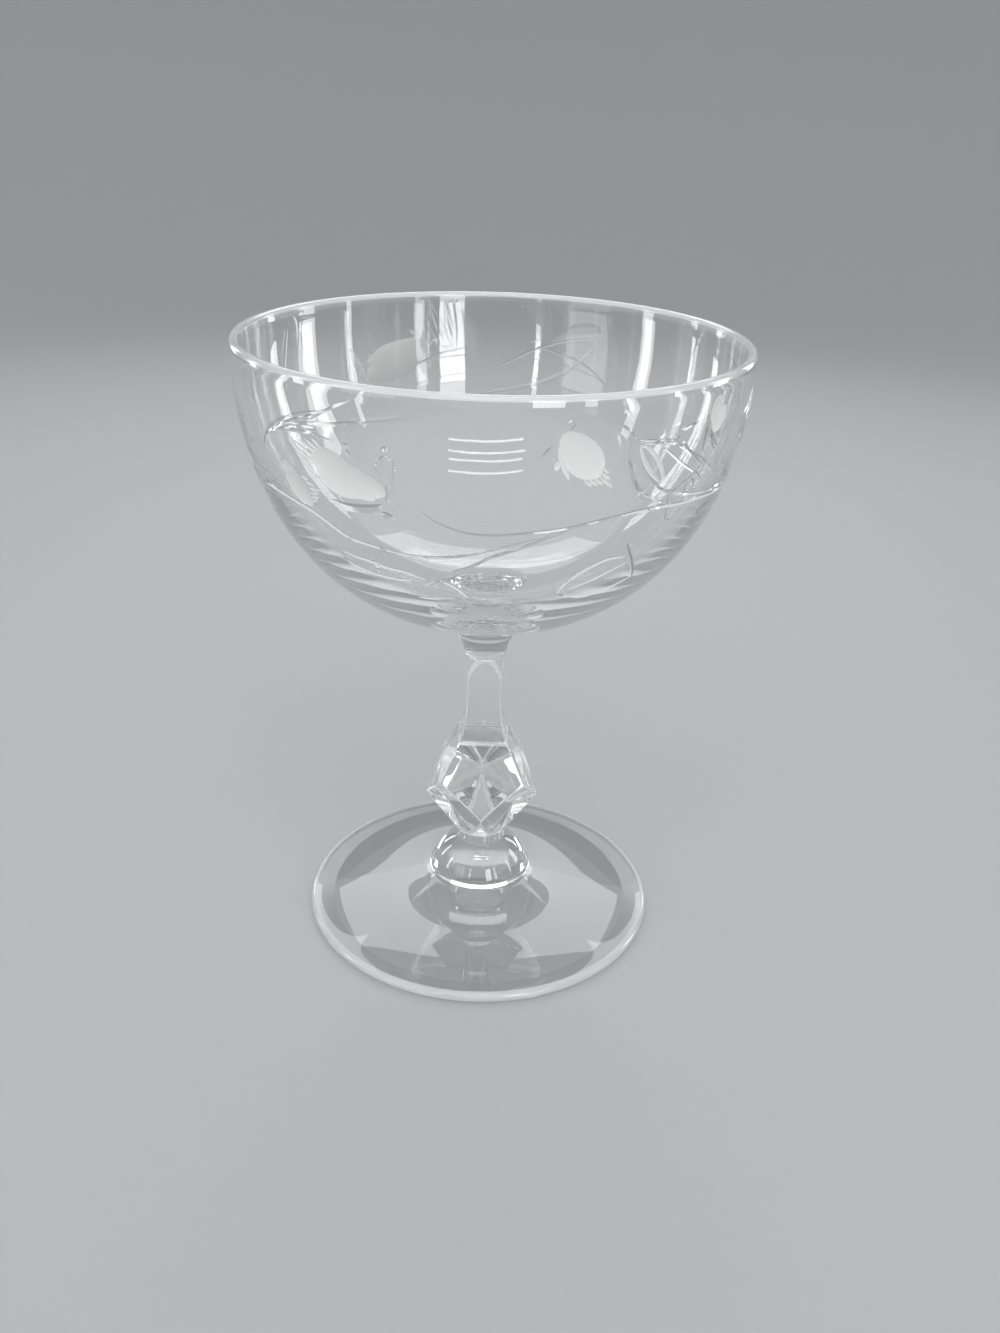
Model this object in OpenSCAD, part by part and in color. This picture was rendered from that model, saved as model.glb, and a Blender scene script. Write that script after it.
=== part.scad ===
// Coupe glass on a flat-cut stem: wide round bowl, joining wafer, square-panelled neck with a
// faceted knop, ball button and a broad coned foot. Millimetres, +Z up, the foot's rest on z = 0.

/* [Overall] */
// Height from the table to the top of the rim
glass_h = 120; // [115:1:126]
// Width across the rim
rim_d = 92; // [86:1:98]
// Width across the foot
foot_d = 72; // [66:1:78]

/* [Bowl] */
// Height of the joint between the bowl and the wafer
bowl_z = 67.1; // [66:0.1:68]
// Width of the flat joint under the bowl
bowl_seat_d = 17; // [15:0.5:19]
// Thickness of the wall at the rim
rim_wall = 1.7; // [1.4:0.1:2.2]
// Thickness of the glass at the lowest point inside
bowl_floor_t = 3.6; // [3:0.1:4.4]
// Fullness of the side, where 2 is a plain ellipse and more is squarer
bowl_fullness = 2.2; // [2.05:0.05:2.4]

/* [Wafer] */
// Height of the joint between the wafer and the stem
wafer_z = 62.4; // [61.6:0.1:63.2]
// Width of the joint between the wafer and the stem
wafer_d = 11.2; // [10.4:0.1:12]

/* [Neck] */
// Height where the round top of the stem starts to flare
flare_z = 59.4; // [58.8:0.1:60]
// Width of the round stem where the flare starts
flare_d = 8.4; // [8.1:0.1:8.7]
// Height of the narrowest point of the neck
neck_z = 50.5; // [49.5:0.1:51.5]
// Width across the flats at the narrowest point of the neck
neck_w = 6.7; // [6.3:0.1:7.1]

/* [Knop] */
// Height of the edge where the neck panels meet the upper facets
shoulder_z = 40; // [39.2:0.1:40.8]
// Width across the flats at that edge
shoulder_w = 9.7; // [9.2:0.1:10.2]
// Depth of the crisp step where a neck panel stops on an upper facet
shoulder_step = 0.15; // [0.1:0.05:0.3]
// Height of the low corners of the upper facets
girdle_z = 25.7; // [25.2:0.1:26.4]
// Width across the low corners of the upper facets
girdle_w = 23.2; // [22.2:0.2:24.2]
// Height of the waist below the knop
waist_z = 17.8; // [17.4:0.1:18.2]
// Width of the round waist below the knop
waist_d = 10; // [9.4:0.1:10.6]
// Radius of the wheel that hollows the lower facets
lower_wheel_r = 50; // [40:5:90]

/* [Button] */
// Height of the top of the ball button
button_top_z = 15.6; // [15.2:0.1:16]
// Height of the joint between the button and the foot
button_z = 8; // [7.6:0.1:8.4]
// Width of the button's lower ring
button_d = 21.2; // [20:0.2:22.4]

/* [Foot] */
// Thickness of the foot's rounded edge
foot_edge_t = 2.2; // [1.8:0.1:2.8]
// Width of the flat ring the glass stands on
foot_land = 4; // [3:0.5:6]
// Depth of the hollow under the foot
foot_hollow = 3.2; // [2.4:0.1:4]
// Sweep of the foot's top, where 1 is a straight cone
foot_sweep = 1.15; // [1:0.05:1.4]

/* [Hidden] */
$fn = 96;

// Number of facets in each tier of the stem, and the turn from one to the next
facet_count = 4;
facet_turn = 360 / facet_count;
// Steps along the curved outlines
bowl_steps = 44;
lip_steps = 8;
curve_steps = 10;

rim_r = rim_d / 2;
foot_r = foot_d / 2;
seat_r = bowl_seat_d / 2;
wafer_r = wafer_d / 2;
flare_r = flare_d / 2;
waist_r = waist_d / 2;
button_r = button_d / 2;
lip_r = rim_wall / 2;
edge_r = foot_edge_t / 2;

// Bowl: the outer curve reaches the rim's width at the lip and the seat's width at the joint
bowl_top = glass_h - lip_r;
bowl_out_depth = (bowl_top - bowl_z) / pow(1 - pow(seat_r / rim_r, bowl_fullness), 1 / bowl_fullness);
bowl_in_depth = bowl_top - bowl_z - bowl_floor_t;
// Quarter turn at which the outer curve reaches the edge of the seat
seat_turn = acos(pow(seat_r / rim_r, bowl_fullness / 2));

// Neck: the wheel that hollows the panels touches the narrowest point and stops at the shoulder step
neck_bite = (shoulder_w - neck_w) / 2 - shoulder_step;
neck_drop = neck_z - shoulder_z;
neck_wheel_r = (neck_drop * neck_drop + neck_bite * neck_bite) / (2 * neck_bite);
// The panels run out low on the flare
panel_top_share = 0.4;
panel_top_z = flare_z + (wafer_z - flare_z) * panel_top_share;

// Knop: leaning upper facets, and lower facets turned half a step
upper_run = (girdle_w - shoulder_w) / 2;
upper_rise = shoulder_z - girdle_z;
upper_low_x = girdle_w / 2 + upper_run * (girdle_z - waist_z) / upper_rise;
lower_high = girdle_w / 2 * cos(facet_turn / 2);
// The lower facets run out a little outside the waist
lower_low_share = 1.07;
lower_low = waist_r * lower_low_share;
lower_run = lower_high - lower_low;
lower_rise = girdle_z - waist_z;
lower_chord = sqrt(lower_run * lower_run + lower_rise * lower_rise);
lower_reach = sqrt(lower_wheel_r * lower_wheel_r - lower_chord * lower_chord / 4);
lower_wheel_x = (lower_high + lower_low) / 2 + lower_reach * lower_rise / lower_chord;
lower_wheel_z = (girdle_z + waist_z) / 2 - lower_reach * lower_run / lower_chord;

// Uncut blank of the stem, kept just outside every facet
girdle_blank_share = 1.026;
shoulder_blank_share = 1.08;
knop_blank_share = 1.1;
knop_top_share = 0.4;
girdle_blank_r = girdle_w / 2 * girdle_blank_share;
shoulder_blank_r = shoulder_w / 2 / cos(facet_turn / 2) * shoulder_blank_share;
knop_blank_r = girdle_w / 2 * knop_blank_share;
knop_cone_z = waist_z + (knop_blank_r - waist_r) * lower_rise / (girdle_blank_r - waist_r);
knop_top_z = shoulder_z - (shoulder_z - girdle_z) * knop_top_share;

// Button: one ball through its top face and its lower ring
ball_z = (button_top_z + button_z) / 2
    - (button_r * button_r - waist_r * waist_r) / (2 * (button_top_z - button_z));
ball_r = sqrt(button_r * button_r + (button_z - ball_z) * (button_z - ball_z));

// Foot: the hollow stops short of the rest ring and is a shallow dome
hollow_r = foot_r - edge_r - foot_land;
hollow_power = 2;

// Points on the bowl's curve from the turn a to the turn b, for half width r and depth h
function bowl_curve(r, h, a, b) = [
    for (i = [0 : bowl_steps])
        let (t = a + (b - a) * i / bowl_steps)
        [r * pow(cos(t), 2 / bowl_fullness), bowl_top - h * pow(sin(t), 2 / bowl_fullness)]
];

// Points on a round edge of radius r about x, z from the turn a to the turn b, without its two ends
function round_edge(x, z, r, a, b) = [
    for (i = [1 : lip_steps - 1])
        let (t = a + (b - a) * i / lip_steps)
        [x + r * cos(t), z + r * sin(t)]
];

// Points that leave x0, z0 steeply and spread to x1, z1
function flare(x0, z0, x1, z1, power) = [
    for (i = [0 : curve_steps])
        let (s = i / curve_steps)
        [x0 + (x1 - x0) * pow(s, power), z0 + (z1 - z0) * s]
];

// Points up the foot's top, from the rounded edge to the button's ring
function foot_top() = [
    for (i = [0 : curve_steps])
        let (s = i / curve_steps)
        [foot_r - edge_r - (foot_r - edge_r - button_r) * s,
            foot_edge_t + (button_z - foot_edge_t) * pow(s, foot_sweep)]
];

// Points of the hollow under the foot, from the axis to the rest ring
function foot_under() = [
    for (i = [0 : curve_steps])
        let (s = i / curve_steps)
        [hollow_r * s, foot_hollow * (1 - pow(s, hollow_power))]
];

// Round bowl with a fire-polished lip
module bowl() {
    color([0.86, 0.91, 0.93, 0.35])
        rotate_extrude()
            polygon(concat(
                [[0, bowl_z]],
                bowl_curve(rim_r, bowl_out_depth, seat_turn, 0),
                round_edge(rim_r - lip_r, bowl_top, lip_r, 0, 180),
                bowl_curve(rim_r - rim_wall, bowl_in_depth, 0, 90)
            ));
}

// Flared wafer of glass between the bowl and the stem
module wafer() {
    wafer_spread = 2;
    color([0.84, 0.9, 0.92, 0.4])
        rotate_extrude()
            polygon(concat(
                [[0, wafer_z]],
                flare(wafer_r, wafer_z, seat_r, bowl_z, wafer_spread),
                [[0, bowl_z]]
            ));
}

// Round blank of the stem before any cutting
module stem_blank() {
    top_spread = 2;
    rotate_extrude()
        polygon(concat(
            [
                [0, button_top_z],
                [waist_r, button_top_z],
                [waist_r, waist_z],
                [knop_blank_r, knop_cone_z],
                [knop_blank_r, knop_top_z],
                [shoulder_blank_r, shoulder_z]
            ],
            flare(flare_r, flare_z, wafer_r, wafer_z, top_spread),
            [[0, wafer_z]]
        ));
}

// Straight cut across the stem, with its side view drawn in distance from the axis and height
module across() {
    rotate([90, 0, 0])
        linear_extrude(height = 2 * girdle_w, center = true)
            children();
}

// Hollow cut of a wheel of radius r about x, z, between two heights
module wheel_cut(x, z, r, low, high) {
    across()
        intersection() {
            translate([x, z])
                circle(r = r);
            translate([0, low])
                square([girdle_w, high - low]);
        }
}

// Flat cut that leaves one leaning upper facet
module upper_cut() {
    across()
        polygon([
            [shoulder_w / 2, shoulder_z],
            [upper_low_x, waist_z],
            [upper_low_x, shoulder_z]
        ]);
}

// Flat-cut stem: square neck of hollowed panels over a knop of two staggered tiers of facets
module stem() {
    color([0.82, 0.88, 0.9, 0.45])
        difference() {
            stem_blank();
            for (i = [0 : facet_count - 1]) {
                rotate([0, 0, i * facet_turn]) {
                    wheel_cut(neck_w / 2 + neck_wheel_r, neck_z, neck_wheel_r, shoulder_z, panel_top_z);
                    upper_cut();
                }
                rotate([0, 0, (i + 1 / 2) * facet_turn])
                    wheel_cut(lower_wheel_x, lower_wheel_z, lower_wheel_r, waist_z, shoulder_z);
            }
        }
}

// Ball button between the stem and the foot
module button() {
    color([0.8, 0.87, 0.9, 0.45])
        intersection() {
            translate([0, 0, ball_z])
                sphere(r = ball_r);
            translate([0, 0, button_z])
                cylinder(r = button_d, h = button_top_z - button_z);
        }
}

// Broad foot with a rounded edge and a shallow hollow underneath
module foot() {
    color([0.86, 0.91, 0.93, 0.35])
        rotate_extrude()
            polygon(concat(
                foot_under(),
                [[foot_r - edge_r, 0]],
                round_edge(foot_r - edge_r, edge_r, edge_r, -90, 90),
                foot_top(),
                [[0, button_z]]
            ));
}

bowl();
wafer();
stem();
button();
foot();
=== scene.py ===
import bmesh
import bpy
from math import acos, atan2, cos, degrees, exp, hypot, log, pi, radians, sin, sqrt, tan
from mathutils import Matrix, Vector


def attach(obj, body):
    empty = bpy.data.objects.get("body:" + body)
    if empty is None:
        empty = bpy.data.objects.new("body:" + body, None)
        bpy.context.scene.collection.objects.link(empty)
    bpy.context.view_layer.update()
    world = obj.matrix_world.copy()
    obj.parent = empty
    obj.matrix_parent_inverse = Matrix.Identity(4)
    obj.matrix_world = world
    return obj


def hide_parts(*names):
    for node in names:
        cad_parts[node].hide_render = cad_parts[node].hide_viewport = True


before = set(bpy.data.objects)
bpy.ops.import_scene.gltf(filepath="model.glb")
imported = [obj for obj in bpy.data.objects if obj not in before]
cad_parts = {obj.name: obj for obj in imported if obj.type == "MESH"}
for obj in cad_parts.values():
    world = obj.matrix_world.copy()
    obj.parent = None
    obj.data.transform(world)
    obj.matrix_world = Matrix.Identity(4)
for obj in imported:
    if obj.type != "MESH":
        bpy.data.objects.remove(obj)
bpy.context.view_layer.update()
scene = bpy.context.scene
scene.view_settings.view_transform = "Standard"
# light runs a long way inside a crystal wall before it leaves; the default few bounces turn thick glass black
lightBounces = 100
scene.cycles.max_bounces = lightBounces
scene.cycles.glossy_bounces = lightBounces
scene.cycles.transmission_bounces = lightBounces
scene.cycles.transparent_max_bounces = lightBounces
mm = 0.001
print("frame loaded:", sorted(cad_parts))


def hexColour(code):
    # sRGB hex to the linear colour that the shaders work in
    parts = [int(code[i:i + 2], 16) / 255 for i in (0, 2, 4)]
    return tuple(v / 12.92 if v <= 0.04045 else ((v + 0.055) / 1.055) ** 2.4 for v in parts) + (1.0,)


def addNode(tree, kind, settings=None, inputs=None):
    # one node with its settings, and a value or a link for each named input
    node = tree.nodes.new(kind)
    for key, value in (settings or {}).items():
        setattr(node, key, value)
    for key, value in (inputs or {}).items():
        if isinstance(value, bpy.types.NodeSocket):
            tree.links.new(value, node.inputs[key])
        else:
            node.inputs[key].default_value = value
    return node


# camera: stands where the photo was taken from, a little above the rim
cameraView = {
    "place": (0.0, -222.81, 162.51),  # mm
    "down": 25.779,  # degrees
    "aside": 0.768,
    "roll": 1.901,
    "lens": 33.56,
    "sensor": 36,
    "nearest": 10,  # mm
}


def placeCamera(view):
    down, aside, roll = (radians(view[key]) for key in ("down", "aside", "roll"))
    ahead = Vector((sin(aside) * cos(down), cos(aside) * cos(down), -sin(down)))
    right = Vector((cos(aside), -sin(aside), 0))
    above = right.cross(ahead)
    xAxis = right * cos(roll) + above * sin(roll)
    yAxis = -right * sin(roll) + above * cos(roll)
    turn = Matrix((xAxis, yAxis, -ahead)).transposed()
    data = bpy.data.cameras.new("photoCamera")
    data.lens = view["lens"]
    data.sensor_width = view["sensor"]
    data.clip_start = view["nearest"] * mm
    camera = bpy.data.objects.new("photoCamera", data)
    camera.matrix_world = Matrix.Translation(Vector(view["place"]) * mm) @ turn.to_4x4()
    scene.collection.objects.link(camera)
    scene.camera = camera


placeCamera(cameraView)
print("camera placed")

# glass finishes: colour, roughness, the share of light that passes, and the spacing and height in mm of
# the surface's fine waviness
finishes = {
    # fire-polished crystal: clear and mirror smooth, with the slow waves that reheating leaves
    "firePolishedCrystal": {
        "colour": "FEFEFE", "roughness": 0.0, "clear": 1.0, "waveSize": 16.0, "waveHeight": 0.03,
    },
    # rim and foot edge: a faint haze, and a white diffuse share that is a painted highlight, the bright line
    # the edge gathers from the light
    "meltedRim": {
        "colour": "FDFDFD", "roughness": 0.12, "clear": 0.6, "waveSize": 5.0, "waveHeight": 0.01,
    },
    # cut crystal after the acid bath: flat bright facets with a trace of the wheel's ripple
    "acidPolishedCrystal": {
        "colour": "FEFEFE", "roughness": 0.0, "clear": 1.0, "waveSize": 3.2, "waveHeight": 0.0012,
    },
    # arris: a narrow soft band whose white diffuse share is a painted highlight, the glint of lamps on the
    # rounded edge, with small nicks in its bump
    "easedArris": {
        "colour": "FCFCFC", "roughness": 0.3, "clear": 0.58, "waveSize": 0.8, "waveHeight": 0.05,
    },
    # foot flattened with a paddle while it spins: faint rings of drag
    "paddledCrystal": {
        "colour": "FEFEFE", "roughness": 0.0, "clear": 1.0, "waveSize": 9.0, "waveHeight": 0.004,
    },
    # line cut polished with cork and pumice: bright, a hair softer than the wall
    "polishedWheelCut": {
        "colour": "FCFCFC", "roughness": 0.04, "clear": 1.0, "waveSize": 1.4, "waveHeight": 0.0016,
    },
    # ground left from the stone wheel: a pale grey bloom that scatters what is behind it
    "greyGroundCut": {
        "colour": "F7F7F6", "roughness": 0.65, "clear": 0.3, "waveSize": 0.22, "waveHeight": 0.006,
    },
    # ring that touches the table: fine scuffs in the polish
    "scuffedRestRing": {
        "colour": "FBFBFB", "roughness": 0.12, "clear": 1.0, "waveSize": 0.5, "waveHeight": 0.002,
    },
}
crystalIndex = 1.53
shadowTint = "E6E8E8"  # light that a wall of crystal lets through to the table


def newMaterial(name):
    # empty material, and its tree
    material = bpy.data.materials.new(name)
    material.use_nodes = True
    material.node_tree.nodes.clear()
    return material, material.node_tree


def makeGlass(name, finish):
    material, tree = newMaterial(name)
    where = addNode(tree, "ShaderNodeTexCoord")
    wave = addNode(tree, "ShaderNodeTexNoise", {"noise_dimensions": "3D"}, {
        "Vector": where.outputs["Object"],
        "Scale": 1 / (finish["waveSize"] * mm),
        "Detail": 2.0,
        "Roughness": 0.45,
    })
    ripple = addNode(tree, "ShaderNodeBump", None, {
        "Strength": 1.0,
        "Distance": finish["waveHeight"] * mm,
        "Height": wave.outputs["Fac"],
    })
    glass = addNode(tree, "ShaderNodeBsdfPrincipled", None, {
        "Base Color": hexColour(finish["colour"]),
        "Roughness": finish["roughness"],
        "IOR": crystalIndex,
        "Transmission Weight": finish["clear"],
        "Normal": ripple.outputs["Normal"],
    })
    through = addNode(tree, "ShaderNodeBsdfTransparent", None, {"Color": hexColour(shadowTint)})
    path = addNode(tree, "ShaderNodeLightPath")
    mixed = addNode(tree, "ShaderNodeMixShader", None, {
        0: path.outputs["Is Shadow Ray"],
        1: glass.outputs["BSDF"],
        2: through.outputs["BSDF"],
    })
    addNode(tree, "ShaderNodeOutputMaterial", None, {"Surface": mixed.outputs["Shader"]})
    return material


def makeJoint():
    # two gathers of glass fused hot: nothing to see where they meet
    material, tree = newMaterial("fusedJoint")
    through = addNode(tree, "ShaderNodeBsdfTransparent", None, {"Color": (1, 1, 1, 1)})
    addNode(tree, "ShaderNodeOutputMaterial", None, {"Surface": through.outputs["BSDF"]})
    return material


materials = {name: makeGlass(name, finish) for name, finish in finishes.items()}
materials["fusedJoint"] = makeJoint()
print("materials:", ", ".join(materials))


def newTree(name, sockets):
    # empty node group with a geometry in and out, and the named inputs for its sizes
    tree = bpy.data.node_groups.new(name, "GeometryNodeTree")
    tree.interface.new_socket("Geometry", in_out="OUTPUT", socket_type="NodeSocketGeometry")
    tree.interface.new_socket("Geometry", in_out="INPUT", socket_type="NodeSocketGeometry")
    for label, kind in sockets.items():
        tree.interface.new_socket(label, in_out="INPUT", socket_type=kind)
    return tree, addNode(tree, "NodeGroupInput").outputs


def dressTree(tree, geometry, inputs):
    # ends a tree: instances made real, and the finish put on
    whole = addNode(tree, "GeometryNodeRealizeInstances", None, {"Geometry": geometry})
    dressed = addNode(tree, "GeometryNodeSetMaterial", None, {
        "Geometry": whole.outputs["Geometry"], **inputs,
    })
    addNode(tree, "NodeGroupOutput", None, {"Geometry": dressed.outputs["Geometry"]})
    return tree


def runTree(tree, mesh, values):
    # gives the tree's result as a plain mesh
    draft = bpy.data.objects.new(tree.name, mesh)
    scene.collection.objects.link(draft)
    modifier = draft.modifiers.new(tree.name, "NODES")
    modifier.node_group = tree
    for item in tree.interface.items_tree:
        if item.in_out == "INPUT" and item.name in values:
            modifier[item.identifier] = values[item.name]
    graph = bpy.context.evaluated_depsgraph_get()
    result = bpy.data.meshes.new_from_object(draft.evaluated_get(graph), depsgraph=graph)
    bpy.data.objects.remove(draft)
    return result


def makeTurnedTree():
    # turns an outline in radius and height about the upright axis, on a guide circle 1 mm in radius
    tree, given = newTree("turnedGlass", {
        "Steps Around": "NodeSocketInt",
        "Weld Distance": "NodeSocketFloat",
        "Finish": "NodeSocketMaterial",
    })
    outline = addNode(tree, "GeometryNodeMeshToCurve", None, {"Mesh": given["Geometry"]})
    point = addNode(tree, "GeometryNodeInputPosition")
    parts = addNode(tree, "ShaderNodeSeparateXYZ", None, {"Vector": point.outputs["Position"]})
    inward = addNode(tree, "ShaderNodeMath", {"operation": "SUBTRACT"}, {0: parts.outputs["X"], 1: 1.0})
    flipped = addNode(tree, "ShaderNodeMath", {"operation": "MULTIPLY"}, {0: parts.outputs["Z"], 1: -1.0})
    laid = addNode(tree, "ShaderNodeCombineXYZ", None, {
        "X": inward.outputs["Value"], "Y": flipped.outputs["Value"],
    })
    profile = addNode(tree, "GeometryNodeSetPosition", None, {
        "Geometry": outline.outputs["Curve"], "Position": laid.outputs["Vector"],
    })
    circle = addNode(tree, "GeometryNodeCurvePrimitiveCircle", {"mode": "RADIUS"}, {
        "Resolution": given["Steps Around"], "Radius": 1.0,
    })
    upright = addNode(tree, "GeometryNodeSetCurveNormal", {"mode": "Z_UP"}, {
        "Curve": circle.outputs["Curve"],
    })
    swept = addNode(tree, "GeometryNodeCurveToMesh", None, {
        "Curve": upright.outputs["Curve"], "Profile Curve": profile.outputs["Geometry"],
    })
    welded = addNode(tree, "GeometryNodeMergeByDistance", None, {
        "Geometry": swept.outputs["Mesh"], "Distance": given["Weld Distance"],
    })
    outwards = addNode(tree, "GeometryNodeFlipFaces", None, {"Mesh": welded.outputs["Geometry"]})
    return dressTree(tree, outwards.outputs["Mesh"], {"Material": given["Finish"]})


turnedTree = makeTurnedTree()


def outlineMesh(points):
    mesh = bpy.data.meshes.new("outline")
    mesh.from_pydata([(r, 0, z) for r, z in points], [(i, i + 1) for i in range(len(points) - 1)], [])
    return mesh


# working limits, in mm unless a line says otherwise
weldDistance = 1e-4  # points nearer than this become one
sliver = 1e-5  # faces thinner than this go
touch = 1e-3  # a face this near a plane lies on it
levelFace = 0.999  # upward share of a normal, from which a face counts as level
turnedCrease = radians(25)  # edges sharper than this stay hard


def turned(points, stepsAround, finish):
    return runTree(turnedTree, outlineMesh(points), {
        "Steps Around": stepsAround, "Weld Distance": weldDistance, "Finish": materials[finish],
    })


def smoothFaces(mesh, sharpAngle):
    # smooth shading, with a hard edge where two surfaces or two finishes meet
    shape = bmesh.new()
    shape.from_mesh(mesh)
    bmesh.ops.dissolve_degenerate(shape, dist=sliver, edges=shape.edges)
    for face in shape.faces:
        face.smooth = True
    for edge in shape.edges:
        if len(edge.link_faces) == 2:
            one, two = edge.link_faces
            apart = one.material_index != two.material_index
            edge.smooth = edge.calc_face_angle(0) < sharpAngle and not apart
    shape.to_mesh(mesh)
    shape.free()


def markFaces(mesh, finish, test):
    # gives the faces that pass the test another finish
    if materials[finish].name not in mesh.materials:
        mesh.materials.append(materials[finish])
    index = mesh.materials.find(materials[finish].name)
    for face in mesh.polygons:
        if test(face.center, face.normal):
            face.material_index = index


def addPiece(name, mesh, node):
    # from mm to metres, into the scene, and onto the frame
    mesh.transform(Matrix.Scale(mm, 4))
    mesh.name = name
    piece = bpy.data.objects.new(name, mesh)
    scene.collection.objects.link(piece)
    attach(piece, "root")
    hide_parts(node)
    print("piece", name, len(mesh.polygons), "faces")


def arc(x, z, radius, start, end, steps):
    # round edge between two turns in degrees, with both its ends
    turns = [radians(start + (end - start) * i / steps) for i in range(steps + 1)]
    return [(x + radius * cos(t), z + radius * sin(t)) for t in turns]


# foot: broad shallow cone with a rounded edge, hollowed underneath
foot = {
    "radius": 36.0, "edge": 2.2, "land": 4.0, "hollow": 3.2,
    "seatHeight": 8.0, "seatRadius": 10.6, "jointRadius": 10.1, "sweep": 1.15,
    "stepsAround": 192, "stepsIn": 28, "edgeSteps": 14,
}


def makeFoot(size):
    edgeRadius = size["edge"] / 2
    outer = size["radius"] - edgeRadius
    hollow = outer - size["land"]
    rise = size["seatHeight"] - size["edge"]
    steps = size["stepsIn"]
    under = [(hollow * i / steps, size["hollow"] * (1 - (i / steps) ** 2)) for i in range(steps + 1)]
    edge = arc(outer, edgeRadius, edgeRadius, -90, 90, size["edgeSteps"])
    top = [
        (outer - (outer - size["seatRadius"]) * i / steps, size["edge"] + rise * (i / steps) ** size["sweep"])
        for i in range(1, steps + 1)
    ]
    seat = [(size["jointRadius"], size["seatHeight"]), (0, size["seatHeight"])]
    mesh = turned(under + edge + top + seat, size["stepsAround"], "paddledCrystal")
    markFaces(mesh, "fusedJoint", lambda c, n: (
        c.z > size["seatHeight"] - touch and hypot(c.x, c.y) < size["jointRadius"]
    ))
    markFaces(mesh, "scuffedRestRing", lambda c, n: c.z < touch)
    smoothFaces(mesh, turnedCrease)
    # the foot's edge gets the rim finish, whose white share paints a bright line
    markFaces(mesh, "meltedRim", lambda c, n: hypot(c.x, c.y) > outer)
    addPiece("conedFoot", mesh, "foot")


makeFoot(foot)

# button: slice of a ball between the foot and the stem
button = {
    "lowHeight": 8.0, "topRadius": 5.0, "topHeight": 15.6,
    "ballRadius": 9.95, "ballHeight": 9.1,  # where the ball meets its lower ring
    "ringRadius": 10.1, "ringSize": 0.5, "ringEnd": 75,  # ring pressed out against the foot
    "stepsAround": 160, "ringSteps": 12, "ballSteps": 22,
}


def makeButton(size):
    rise = size["topHeight"] - size["ballHeight"]
    centre = (size["topHeight"] + size["ballHeight"]) / 2
    centre -= (size["ballRadius"] ** 2 - size["topRadius"] ** 2) / (2 * rise)
    radius = hypot(size["ballRadius"], size["ballHeight"] - centre)
    start = degrees(atan2(size["ballHeight"] - centre, size["ballRadius"]))
    end = degrees(atan2(size["topHeight"] - centre, size["topRadius"]))
    ringHeight = size["lowHeight"] + size["ringSize"]
    ring = arc(size["ringRadius"], ringHeight, size["ringSize"], -90, size["ringEnd"], size["ringSteps"])
    side = arc(0, centre, radius, start, end, size["ballSteps"])
    outline = [(0, size["lowHeight"])] + ring + side + [(0, size["topHeight"])]
    mesh = turned(outline, size["stepsAround"], "acidPolishedCrystal")
    markFaces(mesh, "fusedJoint", lambda c, n: abs(n.z) > levelFace)
    smoothFaces(mesh, turnedCrease)
    addPiece("ballButton", mesh, "button")


makeButton(button)

# wafer: small flared collar of glass under the bowl
wafer = {
    "lowRadius": 5.6, "lowHeight": 62.4, "topRadius": 8.5, "topHeight": 67.1,
    "stepsAround": 128, "stepsUp": 18,
}


def makeWafer(size):
    steps = size["stepsUp"]
    side = [
        (
            size["lowRadius"] + (size["topRadius"] - size["lowRadius"]) * (i / steps) ** 2,
            size["lowHeight"] + (size["topHeight"] - size["lowHeight"]) * i / steps,
        )
        for i in range(steps + 1)
    ]
    outline = [(0, size["lowHeight"])] + side + [(0, size["topHeight"])]
    mesh = turned(outline, size["stepsAround"], "acidPolishedCrystal")
    markFaces(mesh, "fusedJoint", lambda c, n: abs(n.z) > levelFace)
    smoothFaces(mesh, turnedCrease)
    addPiece("joiningWafer", mesh, "wafer")


makeWafer(wafer)

# stem: square neck of hollow panels over a knop of two staggered tiers of facets
stem = {
    "lowHeight": 15.6, "waistHeight": 17.8, "waistRadius": 5.0,
    "girdleHeight": 25.7, "girdleWidth": 23.2, "lowerWheel": 50.0, "lowerRunOut": 1.07,
    "shoulderHeight": 40.0, "shoulderWidth": 9.7, "shoulderStep": 0.15,
    "neckHeight": 50.5, "neckWidth": 6.7,
    "flareHeight": 58.0, "flareRadius": 4.15, "flarePower": 1.6, "topHeight": 62.4, "topRadius": 5.6,
    "edgeSharpness": 6.0,  # per mm: larger leaves crisper facet edges
    "arrisBand": 0.34,  # mm between two cuts, within which the edge gets the painted highlight
    "shoulderBand": 0.4,  # mm above and below the shoulder, where the wheels overlap and the painted highlight goes too
}
# uncut blank, as shares of the finished widths
stemBlank = {"girdle": 1.026, "knop": 1.1, "knopTop": 0.4, "shoulder": 1.08}
# bands up the stem: waist, knop, neck and flare, with the rows of faces in each
stemRows = {"waist": 3, "knop": 150, "neck": 64, "flare": 12}
# points across one run of a cut, closer together near its edges
stemShares = [0, 0.02, 0.05, 0.1, 0.2, 0.35, 0.5, 0.65, 0.8, 0.9, 0.95, 0.98]


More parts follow.
